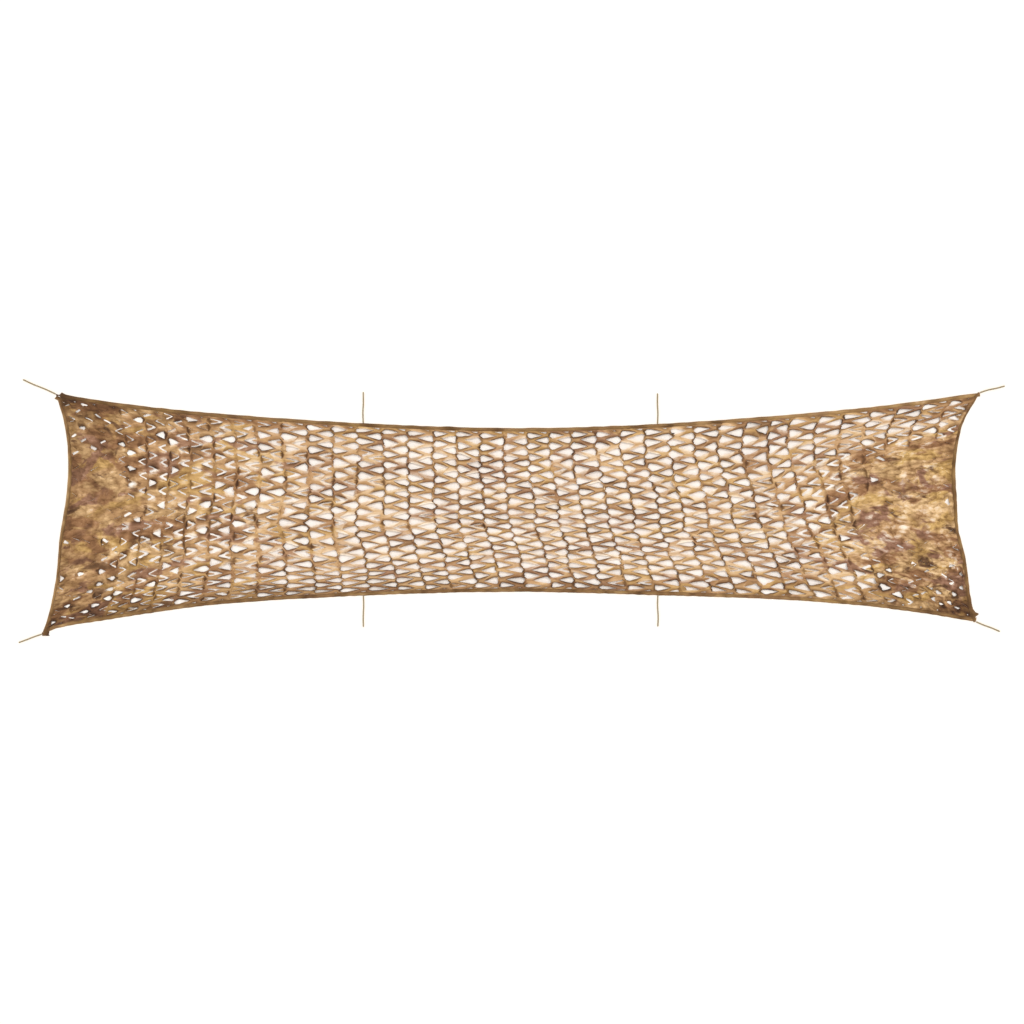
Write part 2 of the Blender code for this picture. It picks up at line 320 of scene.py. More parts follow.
def printed(tree, uv):
    """Camouflage colour: TAN with patches of PRINT's colours. A patch's share, 0 to 1, is noise in
    flat-cloth coordinates, taken between two thresholds."""
    colour = TAN
    for patch, scale, stretch, offset, low, high in PRINT:
        mapping = node(tree, "Mapping", {"Vector": uv, "Location": offset, "Scale": (stretch, 1.0, 1.0)})
        noise = noise_node(tree, mapping.outputs[0], scale, 5.0, 0.55, 0.6)
        colour = mix_colour(tree, range_node(tree, noise.outputs["Fac"], low, high), colour, patch)
    return colour


def cloth_material(name, depth, olive):
    """Printed desert camouflage cloth: patches in flat-cloth coordinates, fine wrinkles drawn out along
    the netting, with painted light and shade on them as well as a bump, a weave, and the painted shade
    of the rolled-up and shaded parts from the mesh's "shade" value: below 1 it is a deeper, warmer
    brown and above 1 it turns to cream, a painted highlight. Where the mesh's "crumpled" value is high
    the print is stronger and the cloth is broken up into small facets, the cells of a Voronoi pattern,
    each with a tone of its own and a painted shade that darkens it to its edge. depth darkens it all,
    and olive is the share of that colour mixed in."""
    material, tree, shader = new_material(name, 0.85)
    uv = node(tree, "UVMap", uv_map="print").outputs[0]
    crumpled = node(tree, "Attribute", attribute_name="crumpled").outputs["Fac"]
    fading = math_node(tree, "MULTIPLY_ADD", crumpled, -FADING, FADING)
    colour = mix_colour(tree, fading, printed(tree, uv), FADED)
    colour = mix_colour(tree, olive, colour, OLIVE)
    drawn_out = node(tree, "Mapping", {"Vector": uv, "Scale": (0.42, 1.0, 1.0)}).outputs[0]
    # painted light and shade of the fine wrinkles, which the same noise also bumps
    mottle = noise_node(tree, drawn_out, 52.0, 5.0, 0.68)
    contrast = math_node(tree, "MULTIPLY_ADD", crumpled, 0.45, 0.85)
    wrinkle_light_and_shade = range_node(tree, mottle.outputs["Fac"], 0.3, 0.7, -0.26, 0.23)
    crumple_light_and_shade = math_node(tree, "MULTIPLY_ADD", wrinkle_light_and_shade, contrast, 1.0)
    bent = node(tree, "Mix", {0: 0.02, 4: drawn_out, 5: mottle.outputs["Color"]}, data_type="VECTOR")
    # painted shade on facets of the crumpled cloth: a tone for each and painted shade towards its edge
    facets = node(tree, "TexVoronoi", {"Vector": bent.outputs[1], "Scale": 44.0})
    red = node(tree, "SeparateColor", {"Color": facets.outputs["Color"]}).outputs[0]
    facet_shade = math_node(tree, "ADD", range_node(tree, red, 0.0, 1.0, -0.18, 0.26),
                      range_node(tree, facets.outputs["Distance"], 0.25, 0.70, 0.0, -0.34))
    crumple_light_and_shade = math_node(tree, "ADD", crumple_light_and_shade, math_node(tree, "MULTIPLY", facet_shade, crumpled))
    # painted shade from the mesh's shade value, as a deeper, warmer brown
    shade = node(tree, "Attribute", attribute_name="shade").outputs["Fac"]
    dark = math_node(tree, "MULTIPLY", crumple_light_and_shade, shade)
    dark = math_node(tree, "MULTIPLY", dark, depth)
    low = math_node(tree, "MINIMUM", dark, 1.0)
    brown = node(tree, "CombineColor", {"Red": low, "Green": math_node(tree, "POWER", low, 1.18),
                                        "Blue": math_node(tree, "POWER", low, 1.45)})
    colour = mix_colour(tree, 1.0, colour, brown.outputs[0], "MULTIPLY")
    # painted highlight: where the shade is above 1 the cloth turns to cream
    painted_highlight = math_node(tree, "MULTIPLY_ADD", dark, 1.2, -1.2)
    colour = mix_colour(tree, painted_highlight, colour, CREAM)
    warp, weft = [node(tree, "TexWave", {"Vector": uv, "Scale": WEAVE, "Distortion": 0.4},
                       bands_direction=way).outputs["Fac"] for way in ("X", "Y")]
    threads = math_node(tree, "ADD", warp, weft)
    wrinkles = node(tree, "Bump", {"Height": mottle.outputs["Fac"], "Strength": 0.6, "Distance": 0.010})
    bump = node(tree, "Bump", {"Height": threads, "Strength": 0.15, "Distance": 0.0006,
                               "Normal": wrinkles.outputs[0]})
    feed(tree, shader, {"Base Color": colour, "Normal": bump.outputs[0], "Sheen Weight": 0.15,
                        "Sheen Roughness": 0.6})
    return material


def cord_material():
    """Braided khaki cord: light threads with painted shade in the grooves between them."""
    material, tree, shader = new_material("tie_cord", 0.8)
    uv = node(tree, "UVMap", uv_map="lay").outputs[0]
    groove_shade = node(tree, "Attribute", attribute_name="groove_shade").outputs["Fac"]
    fibre = noise_node(tree, uv, 90.0, 3.0)
    colour = mix_colour(tree, fibre.outputs["Fac"], linear(138, 121, 84), linear(166, 149, 112))
    colour = mix_colour(tree, groove_shade, colour, linear(94, 80, 56))
    bump = node(tree, "Bump", {"Height": fibre.outputs["Fac"], "Strength": 0.3, "Distance": 0.0005})
    feed(tree, shader, {"Base Color": colour, "Normal": bump.outputs[0]})
    return material


CLOTH = cloth_material("camouflage_cloth", 1.0, 0.0)
HEM_CLOTH = cloth_material("camouflage_hem", 0.92, 0.45)
CORD = cord_material()


# -------- tie cords
STRANDS = 3
LAY_LENGTH = 0.020
CORD_SIDES = 18
CORD_STEP = 0.0020
TIP_LENGTH = 1.5 * TIE_RADIUS


def add_tie(name, route):
    """Laid cord: a circle with three lobes that turn once every LAY_LENGTH, carried along the smooth
    curve through the route, and drawn in to a blunt tip at both ends."""
    steps = np.linspace(0.0, 1.0, len(route))
    fine = np.linspace(0.0, 1.0, 200)
    line_x, line_y = [smooth(list(zip(steps, values)), fine) for values in zip(*route)]
    run = distances(line_x, line_y)
    length = run[-1]
    count = int(round(length / CORD_STEP)) + 1
    at = np.linspace(0.0, length, count)
    x, y = np.interp(at, run, line_x), np.interp(at, run, line_y)
    side = left_of(x, y)
    around = np.linspace(0.0, 2 * math.pi, CORD_SIDES, endpoint=False)
    turn = 2 * math.pi * at / LAY_LENGTH
    lobe = np.abs(np.cos(0.5 * STRANDS * (around - turn[:, None])))
    radius = TIE_RADIUS * (0.80 + 0.22 * lobe ** 0.7)
    near_end = (1.0 - np.minimum(at, length - at) / TIP_LENGTH).clip(0)
    radius *= np.sqrt(np.clip(1.0 - near_end ** 2, 0.02, 1))[:, None]
    out, up = radius * np.cos(around), radius * np.sin(around)
    points = np.stack([x[:, None] + side[:, 0:1] * out, y[:, None] + side[:, 1:2] * out,
                       TIE_RADIUS * 1.02 + up], axis=2).reshape(-1, 3)
    caps = np.array([[x[0], y[0], TIE_RADIUS], [x[-1], y[-1], TIE_RADIUS]])
    first = len(points)
    points = np.concatenate([points, caps])
    j = np.arange(CORD_SIDES)
    k = (j + 1) % CORD_SIDES
    last = (count - 1) * CORD_SIDES
    starts = np.stack([j, k, np.full(CORD_SIDES, first)], axis=1)
    ends = np.stack([last + k, last + j, np.full(CORD_SIDES, first + 1)], axis=1)
    faces = band_faces(count, CORD_SIDES)[:, ::-1].tolist() + starts.tolist() + ends.tolist()
    tie = mesh_object(name.replace("tie_", "cord_"), points, faces, CORD)
    uv = np.stack(np.broadcast_arrays(at[:, None], 0.003 * around), axis=2).reshape(-1, 2)
    set_uv(tie.data, "lay", np.concatenate([uv, uv[:1], uv[-1:]]))
    # painted shade in the grooves between the strands
    groove_shade = np.clip(1.0 - lobe / 0.35, 0.0, 1.0).ravel()
    set_value(tie.data, "groove_shade", np.concatenate([groove_shade, [0.5, 0.5]]))
    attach(tie, "root")
    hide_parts(name)
    path = np.stack([x, y, np.full(count, TIE_RADIUS)], axis=1)[::4]
    path = np.concatenate([path, [[x[-1], y[-1], TIE_RADIUS]]])


for tie_name, tie_route in TIES:
    add_tie(tie_name, tie_route)


# -------- netting
# One cell of the lattice is a hole and the cloth round it. Inside it, u runs from the line of blunt
# ends (0) to the line of tips (1), and v across the row from -1 to 1.
def both_sides(*half):
    """Loop of (u, v) points round a cell, anticlockwise from the middle of the blunt end: these as far
    as the tip, then their mirror images back again."""
    half = np.array(half)
    return np.concatenate([half, half[-2:0:-1] * (1, -1)])


CELL_EDGE = both_sides((0, 0), (0, -.5), (0, -1), (.25, -1), (.5, -1), (.75, -1), (1, -1), (1, -.5),
                       (1, 0))
# Rim of the hole: a shut slit, a gaping one, and one that is wide open
SLIT = both_sides((.08, 0), (.08, -.46), (.10, -.90), (.28, -.75), (.45, -.59), (.62, -.42), (.78, -.25),
                  (.88, -.13), (.95, 0))
CHEVRON = both_sides((.09, 0), (.09, -.38), (.13, -.68), (.28, -.68), (.45, -.58), (.62, -.43),
                     (.78, -.27), (.88, -.14), (.96, 0))
LEAF = both_sides((.06, 0), (.06, -.40), (.11, -.60), (.23, -.69), (.40, -.66), (.58, -.51), (.75, -.32),
                  (.89, -.15), (.98, 0))
LOOP = len(CELL_EDGE)
BLUNT = 0.08               # u of a hole's blunt end
MIDDLE = (0.42, 0.0)       # of a hole, about which it grows
REACH = 0.94               # v that no rim goes past
BASE = [14, 15, 0, 1, 2]   # where the tongue is attached, from the upper to the lower corner
BETWEEN = 0.62             # the middle loop of a cell, as a share of the way from its edge to the rim
TONGUE_ROWS = 8
TONGUE_STEPS = 32          # of the curve that a tongue rolls along
TONGUE_LIMIT = 0.016       # a rolled tongue rises no more than this over its base
ROLLED_LENGTH = (0.040, 0.058)
LYING_LENGTH = 0.075       # the longest that a lying tongue gets
# Radians at which a tongue leaves its base, and by which it turns from there to its tip: rolled up,
# half open and lying
START = ((1.0, 2.3), (0.3, 0.9), (0.0, 0.16))
TURN = ((8.5, 13.0), (1.6, 3.4), (-0.35, 0.15))
# Painted shade of a hole's edges: dark, as where they fold over, or a painted highlight
SHADED_EDGE = (0.04, 0.54)
LIT_EDGE = (1.10, 1.95)
# Half a cell by a long hem, and its hole, with v from the hem (0) to the next nodes (1)
HALF_EDGE = np.array([(0, 0), (.25, 0), (.5, 0), (.75, 0), (1, 0), (1, .5), (1, 1), (.75, 1), (.5, 1),
                      (.25, 1), (0, 1), (0, .5)])
HALF_HOLE = np.array([(.16, .16), (.34, .16), (.5, .16), (.66, .16), (.86, .16), (.80, .28), (.68, .42),
                      (.56, .52), (.44, .60), (.32, .66), (.18, .62), (.14, .40)])
HALF_MIDDLE = np.array([0.45, 0.36])
HALF_RIM_LIFT = 0.002
# Waves in which the nodes are moved along and across the netting, and how far
SWAY = waves_of(6, 0.25, 0.9, 5)
SAG = waves_of(6, 0.25, 0.9, 6)
SWAY_SIZE = 0.006
SAG_SIZE = 0.004
CRUMPLE = waves_of(14, 0.05, 0.22, 7)    # waves of the cloth, highest where it is closed
CREASE = waves_of(10, 0.10, 0.45, 8)     # and as high everywhere
CREASE_HEIGHT = 0.0015
STREAKS = waves_of(16, 0.035, 0.16, 9)   # of painted light and shade on the crumpled cloth
# Corners (x, y), how much painted shade darkens the gathered cloth there, and how far that reaches
CORNERS = [(-2.85, 0.74, 0.62), (-3.00, -0.72, 0.32), (3.04, 0.78, 0.12), (3.00, -0.66, 0.55)]
CORNER_REACH = 0.28
CORNER_SQUASH = 1.6        # that much less far across the netting
LEFT_DARK = 0.23           # how much darker the closed cloth is at the left and at the right end
RIGHT_DARK = 0.03
LOW_LEFT_DARK = 0.30       # and the cloth by the left part of the lower hem
# Shares of the length between which the cloth goes from closed to pulled open, and from open to closed
OPENING = (0.03, 0.32)
CLOSING = (0.78, 0.92)
# Share of the length and share of the tongues rolled up there, left half and right half
ROLLED_LEFT = [(0.05, 0.00), (0.10, 0.03), (0.18, 0.06), (0.25, 0.24), (0.31, 0.66), (0.37, 0.96)]
ROLLED_RIGHT = [(0.66, 1.00), (0.74, 0.82), (0.80, 0.45), (0.84, 0.20), (0.87, 0.05), (0.90, 0.00)]


def shifted(along, across):
    """Share of the length as the left and as the right end count it: the netting opens earlier by
    its long edges, most of all at the upper right."""
    top = ramp(across, 0.66, 0.88)
    bottom = ramp(-across, -0.24, -0.06)
    low = ramp(-across, -0.52, -0.32)
    return along + 0.03 * low + 0.03 * bottom + 0.02 * top, along - 0.16 * top - 0.05 * bottom


def pulled(along, across):
    """How far a place is pulled open, 0 at the closed ends to 1 in the middle."""
    left, right = shifted(along, across)
    return ramp(left, *OPENING) * (1.0 - ramp(right, *CLOSING))


def rolled_share(along, across):
    """Share of the tongues that are rolled up at a place."""
    left, right = shifted(along, across)
    return np.interp(left, *np.transpose(ROLLED_LEFT)) * np.interp(right, *np.transpose(ROLLED_RIGHT))


def gaping_share(along, across):
    """Share of the other tongues that stand clear of their slit at a place."""
    left, right = shifted(along, across)
    edges = np.maximum(ramp(across, 0.70, 0.90), ramp(-across, -0.40, -0.10))
    body = ramp(left, 0.055, 0.105) * (1.0 - ramp(right, 0.865, 0.905))
    return np.maximum(body, 0.04 + 0.58 * edges)


def cell_weights(u, v):
    """Share of each of a cell's six corners at (u, v): blunt line at v = -1, 0, 1, then tip line."""
    low = np.clip(-v, 0, 1)
    high = np.clip(v, 0, 1)
    mid = 1.0 - np.abs(v)
    return np.stack([(1 - u) * low, (1 - u) * mid, (1 - u) * high, u * low, u * mid, u * high], axis=-1)


def lattice_line(rng, start, count, swing, swing_pull, lift):
    """Positions (x, y, z) and flat-cloth positions of the nodes on every second lattice line. A line
    zigzags by swing, less swing_pull where the cloth is pulled open, and there it stands lift over the
    lowest cloth."""
    column = np.arange(count)[:, None] * 2.0 + start
    row = np.arange(HALF_ROWS + 1)
    even = np.where(row % 2 == 0, 1.0, -1.0)
    pull = pulled(along_of(np.clip(column, 0, 2 * PERIODS)), row / HALF_ROWS)
    s = column + (swing - swing_pull * pull) * even
    t = row + 0.0 * column
    inner = ((row > 0) & (row < HALF_ROWS)) * np.ones_like(s)
    loose = inner * (0.62 + 0.48 * ramp(column / (2 * PERIODS), 0.50, 0.70))
    shift = rng.normal(size=s.shape) * NODE_SHIFT * loose
    rise = rng.normal(size=s.shape) * NODE_RISE * loose
    along = along_of(np.clip(s + shift, 0.15, 2 * PERIODS - 0.15))
    x, y = place(along, across_of(t + rise, along), HEM_WIDTH - HEM_OVERLAP)
    x += inner * SWAY_SIZE * ripple(x, y, SWAY)
    y += inner * SAG_SIZE * ripple(x, y, SAG)
    uneven = 1.0 + 0.3 * rng.normal(size=s.shape).clip(-1.5, 1.5)
    z = np.where(inner > 0, CLOTH_REST + lift * (0.15 + 0.85 * pull ** 2) * uneven, HEM_INSIDE)
    flat = np.stack([s * 0.5 * FLAT_PERIOD, t * 0.5 * FLAT_ROW], axis=-1)
    return np.stack([x, y, z], axis=-1), flat


class Cells:
    """The lattice's cells as arrays, one entry for each: its corners, way (1 where the hole points
    right and -1 where it points left), pull (how far the cloth is pulled open), shut (1 where it isn't
    at all), rolled and half (its tongue is rolled up, or half open) and gap (how far its slit gapes)."""

    def __init__(self, rng):
        """Corners from the lattice, then seeded draws for every tongue."""
        self.columns, self.columns_flat = lattice_line(rng, 0, PERIODS + 1, COLUMN_SWING, 0.0, COLUMN_LIFT)
        self.tips, self.tips_flat = lattice_line(rng, 1, PERIODS, -TIP_SWING, TIP_PULL, TIP_LIFT)
        right = [(k, t, 1) for k in range(PERIODS) for t in range(1, HALF_ROWS, 2)]
        left = [(k, t, -1) for k in range(PERIODS) for t in range(2, HALF_ROWS, 2)]
        k, t, self.way = np.array(right + left).T
        self.count = len(k)
        blunt = np.where(self.way > 0, k, k + 1)[:, None]
        rows = t[:, None] + [-1, 0, 1]
        k = k[:, None]
        self.corners = np.concatenate([self.columns[blunt, rows], self.tips[k, rows]], axis=1)
        self.flats = np.concatenate([self.columns_flat[blunt, rows], self.tips_flat[k, rows]], axis=1)
        self.along = share_at(0.5 * (self.corners[:, 1, 0] + self.corners[:, 4, 0]))
        self.across = t / HALF_ROWS
        self.pull = pulled(self.along, self.across)
        edges = np.maximum(ramp(self.across, 0.74, 0.92), ramp(-self.across, -0.30, -0.08))
        small = 0.28 * edges * (1.0 - self.pull)
        self.rolled = rng.random(self.count) < rolled_share(self.along, self.across) + small
        self.half = ~self.rolled & (rng.random(self.count) < 0.02 + 0.12 * ramp(self.pull, 0.1, 0.4))
        self.shut = 1.0 - ramp(self.pull, 0.02, 0.12)
        gaping = rng.random(self.count) < gaping_share(self.along, self.across)
        width = rng.uniform(0.45, 1.20, self.count) * (1.0 - 0.30 * self.shut)
        width *= 1.0 + 0.40 * ramp(self.pull, 0.30, 0.70)
        self.gap = np.where(self.rolled | self.half, 1.0, np.where(gaping, width, 0.0))

    def pick(self, rng, ranges):
        """A draw for each cell from the range of its kind of tongue: rolled up, half open or lying."""
        rolled, half, lying = [rng.uniform(*each, self.count) for each in ranges]
        return np.where(self.rolled, rolled, np.where(self.half, half, lying))


def edge_tone(rng, count, dark_share, bunched):
    """Painted shade of each cell's edge on one side: dark painted shade for some, as where the edge is
    folded over, a painted highlight for the others, and more painted shade where the rows lie bunched."""
    dark = rng.random(count) < dark_share + 0.3 * bunched
    tone = np.where(dark, rng.uniform(*SHADED_EDGE, count), rng.uniform(*LIT_EDGE, count))
    return tone * (1.0 - 0.45 * bunched)


def cell_rims(cells, rng):
    """The three loops of every cell, from its edge to the rim of its hole: points, flat positions and
    shades. A rim blends two of the three outlines, is sized by how far the cloth is pulled, and is made
    uneven. It is turned up above the hole and down below it, and either edge gets a dark painted shade,
    as where it is folded over, or a painted highlight. Where both come out light, the upper one is often
    given painted shade."""
    count, rolled, pull, gap = cells.count, cells.rolled, cells.pull, cells.gap
    along, across = cells.along, cells.across
    bulge = rng.uniform(0.40, 0.95, (count, 1, 1))
    rim = np.where(rolled[:, None, None], CHEVRON + bulge * (LEAF - CHEVRON),
                   SLIT + np.minimum(gap[:, None, None], 1.0) * (CHEVRON - SLIT))
    size = 0.58 + 0.24 * ramp(pull, 0.02, 0.25) + 0.18 * ramp(pull, 0.4, 0.95)
    size = np.where(rolled, size, 1.0)
    rim = MIDDLE + size[:, None, None] * (rim - MIDDLE)
    length = np.where(rolled, 1.0, 0.80 + 0.20 * ramp(pull, 0.10, 0.55))
    rim[..., 0] = BLUNT + length[:, None] * (rim[..., 0] - BLUNT)
    rim[..., 1] *= 1.0 - 0.12 * ramp(pull, 0.5, 0.9)[:, None]
    narrow = np.where(rolled, 0.72, 0.60) + 0.22 * ramp(pull, 0.04, 0.25)
    narrow += np.where(rolled, 0.03, 0.10) * ramp(pull, 0.45, 0.80)
    rim[..., 1] *= narrow[:, None]
    by_hem = ramp(-across, -0.11, -0.03) + ramp(across, 0.92, 0.98)
    rim[..., 1] *= (1.0 - 0.32 * by_hem * rng.random(count))[:, None]
    free = rim[..., 0] > 0.2
    spread = 1.0 + 0.06 * rng.normal(size=(count, 1)).clip(-1.5, 1.5)
    tilt = (0.05 + 0.20 * (cells.shut * gap)[:, None]) * rng.normal(size=(count, 1)).clip(-1.5, 1.5)
    rough = 0.3 + 0.7 * gap[:, None]
    foot = rng.uniform(-0.035, 0.05, (count, 1)) * (rim[..., 0] < 0.2)
    jagged = np.where(rim[..., 0] < 0.2, 0.032, 0.015)
    u_rim = rim[..., 0] + foot + jagged * rough * rng.normal(size=(count, LOOP))
    v_rim = rim[..., 1] * spread + (tilt + 0.03 * rough * rng.normal(size=(count, LOOP))) * free
    v_rim = np.clip(v_rim, -REACH, REACH)
    edge_u, edge_v = np.broadcast_to(CELL_EDGE.T[:, None], (2, count, LOOP))
    turned_up = (0.002 + 0.008 * pull ** 2) * (1.0 + 0.5 * rng.normal(size=count).clip(-1.2, 1.2))
    turned_down = (0.001 + 0.003 * pull) * rng.random(count)
    # painted shade and painted highlight on the edges above and below the hole, darker where the rows lie
    # bunched
    bunched = ramp(-across, -0.30, -0.08) * (1.0 - 0.7 * ramp(along, 0.36, 0.60))
    above = edge_tone(rng, count, np.where(rolled, 0.58, 0.36), bunched)
    below = edge_tone(rng, count, np.where(rolled, 0.44, 0.30), bunched)
    pale = (above > 1.0) & (below > 1.0) & (rng.random(count) < np.where(rolled, 0.80, 0.35))
    above = np.where(pale, rng.uniform(0.25, 0.65, count), above)
    whole = np.where(rolled[:, None], 1.0, 0.35 + 0.65 * ramp(CELL_EDGE[:, 0], 0.1, 0.4))
    tone = rng.uniform(0.90, 1.10, count)
    # painted shade: the line of blunt ends is dark in places, where the cloth folds
    column_shade = 0.95 * ramp(pull, 0.02, 0.30) * (gap > 0) * rng.random(count) ** 2.2
    column_shade *= 1.0 - 0.6 * ramp(across, 0.62, 0.80) * ramp(along, 0.76, 0.86)
    column_shade *= 0.70 + 0.30 * ramp(along, 0.20, 0.36)
    column_shade = column_shade[:, None] * (edge_u == 0) * (1.0 - 0.8 * np.abs(edge_v))
    points, flats, shades = [], [], []
    for share in (0.0, BETWEEN, 1.0):
        u = edge_u + share * (u_rim - edge_u)
        v = edge_v + share * (v_rim - edge_v)
        weights = cell_weights(u, v)
        spot = np.einsum("cpn,cnd->cpd", weights, cells.corners)
        spot[..., 2] += share * np.where(v > 0, turned_up[:, None] * v, turned_down[:, None] * v)
        points.append(spot)
        flats.append(np.einsum("cpn,cnd->cpd", weights, cells.flats))
        edge = np.where(v > 0, above[:, None], below[:, None])
        weight = ramp(share, 0.20, 1.0) * (0.30 + 0.70 * np.minimum(gap, 1.0)[:, None]) * whole
        line = 1.0 - (1.0 - share) * (column_shade - 0.06)
        shades.append((1.0 + (edge - 1.0) * weight) * line * (1.0 + (tone[:, None] - 1.0) * (share > 0)))
    return points, flats, shades


def cell_tongues(cells, rim, rim_flat, rng):
    """The tongue of every cell, which hangs on the blunt end of its hole: its width narrows along it,
    and it bends about its base by an angle that grows along it, so that it lies flat, hangs half
    open or rolls up into a curl."""
    count, rolled, half, shut = cells.count, cells.rolled, cells.half, cells.shut
    pull, gap = cells.pull, cells.gap
    base = rim[:, BASE]
    base_flat = rim_flat[:, BASE]
    centre = base[:, 2:3]
    heading = cells.corners[:, 4, :2] - cells.corners[:, 1, :2]
    heading /= np.linalg.norm(heading, axis=1)[:, None]
    normal = np.stack([-heading[:, 1], heading[:, 0]], axis=1)
    room = np.linalg.norm(rim[:, LOOP // 2, :2] - centre[:, 0, :2], axis=1)
    uneven = 0.04 * rng.normal(size=count) * (gap > 0)
    cover = 1.07 - np.where(half, 0.50, 0.38) * gap * (1.0 - 0.3 * shut) + uneven
    tight = 0.55 + 0.45 * ramp(pull, 0.5, 0.9)
    long = np.where(rolled, rng.uniform(*ROLLED_LENGTH, count), np.minimum(room * cover, LYING_LENGTH))
    start = cells.pick(rng, START)
    turn = cells.pick(rng, TURN) * np.where(rolled, tight, 1.0)
    drift = rng.normal(size=count) * np.where(rolled, 0.008, (0.003 + 0.016 * shut) * gap)
    skew = rng.normal(size=count) * np.where(rolled, 0.30, 0.06 * gap)
    ell = (np.arange(TONGUE_STEPS) + 0.5) / TONGUE_STEPS
    angle = start[:, None] + turn[:, None] * ell ** 1.15
    step = long[:, None] / TONGUE_STEPS
    at = np.linspace(0, 1, TONGUE_ROWS + 1)[1:]
    pick = np.round(at * TONGUE_STEPS).astype(int) - 1
    run, rise = [np.cumsum(part(angle) * step, axis=1)[:, pick] for part in (np.cos, np.sin)]
    limit = TONGUE_LIMIT * (0.45 + 0.55 * ramp(pull, 0.02, 0.25))[:, None]
    rise = limit * np.tanh(rise / limit)
    lying = ~(rolled | half)
    inset = (0.30 + 0.15 * shut) * gap * lying
    taper = 0.92 - 0.12 * gap * ~rolled
    narrow = (1.0 - inset)[:, None] * (1.0 - at) ** taper[:, None]
    spread = base - centre
    tongue = centre[:, None] + spread[:, None] * narrow[:, :, None, None]
    sideways = np.einsum("cd,cpd->cp", normal, spread[..., :2])
    forward = run[:, :, None] + skew[:, None, None] * narrow[:, :, None] * sideways[:, None, :]
    tongue[..., :2] += heading[:, None, None] * forward[..., None]
    tongue[..., :2] += normal[:, None, None] * (drift[:, None] * at)[:, :, None, None]
    tongue[..., 2] = np.maximum(tongue[..., 2] + rise[:, :, None], CLOTH_LOWEST)
    flat_centre = base_flat[:, 2:3]
    flat = flat_centre[:, None] + (base_flat - flat_centre)[:, None] * narrow[:, :, None, None]
    flat[..., 0] += (cells.way[:, None] * long[:, None] * at)[:, :, None]
    # painted shade of the rolled-up tongues, as in the hollow of a curl
    deep = rng.random(count) < 0.66 - 0.22 * ramp(pull, 0.6, 0.95)
    rolled_dark = np.where(deep, rng.uniform(0.06, 0.30, count), rng.uniform(0.45, 1.15, count))
    rolled_dark = np.maximum(rolled_dark, 0.75 * shut)
    lying_dark = 1.0 + (0.10 + 0.08 * shut) * rng.uniform(-1.0, 1.0, count)
    half_dark = rng.uniform(0.80, 1.20, count)
    dark = np.where(rolled, rolled_dark, np.where(half, half_dark, lying_dark))
    shade = dark[:, None] + (1.0 - dark[:, None]) * 0.25 * (1.0 - at[:-1])
    # the painted shade of a rolled tongue is darker on its upper or its lower side
    lean = np.where(rolled, rng.uniform(-0.8, 0.8, count), 0.0)[:, None] * [-1.0, -0.5, 0.0, 0.5, 1.0]
    shade = shade[:, :, None] * (1.0 + lean)[:, None, :]
    # painted highlight on the side edges of lying tongues that stand clear of their slit
    painted_highlight = np.where(lying & (gap > 0), rng.uniform(0.95, 1.95, count), 1.0)
    shade[:, :, [0, 4]] *= painted_highlight[:, None, None]
    # painted shade at the base of some lying tongues, where they fold
    folded = lying & (rng.random(count) < 0.50 * ramp(pull, 0.02, 0.15))
    fold = np.where(folded, rng.uniform(0.15, 0.50, count), 1.0)[:, None]
    shade[:, 0, 1:4] *= fold
    shade[:, 1, 1:4] *= 0.4 + 0.6 * fold
    shade = np.concatenate([shade.reshape(count, -1), dark[:, None]], axis=1)
    points, flats = [
        np.concatenate([part[:, :-1].reshape(count, -1, part.shape[-1]), part[:, -1, 2:3]], axis=1)
        for part in (tongue, flat)]
    # painted shade on the foot of each tongue
    foot = np.where(rolled, np.clip(1.4 * dark, 0.30, 0.90), np.where(folded, fold[:, 0], 0.92))
    return points, flats, shade, foot[:, None] * (1.0 + lean)


def cell_faces(cells, per_cell):
    """Faces of all cells: two bands of quads round each hole, and the rows of each tongue."""
    quads = [band_faces(3, LOOP)]
    wide = len(BASE)
    rows = [np.array(BASE) + 2 * LOOP]
    rows += [3 * LOOP + wide * j + np.arange(wide) for j in range(TONGUE_ROWS - 1)]
    for near, far in zip(rows[:-1], rows[1:]):
        quads.append(np.stack([near[:-1], near[1:], far[1:], far[:-1]], axis=1))
    tips = np.stack([rows[-1][:-1], rows[-1][1:], np.full(wide - 1, per_cell - 1)], axis=1)
    offset = (np.arange(cells.count) * per_cell)[:, None, None]
    quads = np.concatenate(quads)[None] + offset
    tips = tips[None] + offset
    flip = cells.way < 0
    quads[flip] = quads[flip][:, :, ::-1]
    tips[flip] = tips[flip][:, :, ::-1]
    return quads.reshape(-1, 4), tips.reshape(-1, 3)


def whole_cells(cells, rng):
    """All cells with a hole in them, as one part of the cloth."""
    rims = cell_rims(cells, rng)
    *tongues, foot = cell_tongues(cells, rims[0][2], rims[1][2], rng)
    points, flats, shades = [np.concatenate(loops + [tongue], axis=1)
                             for loops, tongue in zip(rims, tongues)]
    # painted shade on the foot of each tongue and beside it
    feet = np.array(BASE) + 2 * LOOP
    shades[:, feet] = np.minimum(shades[:, feet], foot)
    beside = np.array(BASE[1:4]) + LOOP
    shades[:, beside] = np.minimum(shades[:, beside], 0.3 + 0.7 * foot[:, 1:4])
    quads, tips = cell_faces(cells, points.shape[1])
    return points.reshape(-1, 3), flats.reshape(-1, 2), shades.ravel(), quads, tips


NO_TRIANGLES = np.zeros((0, 3), int)


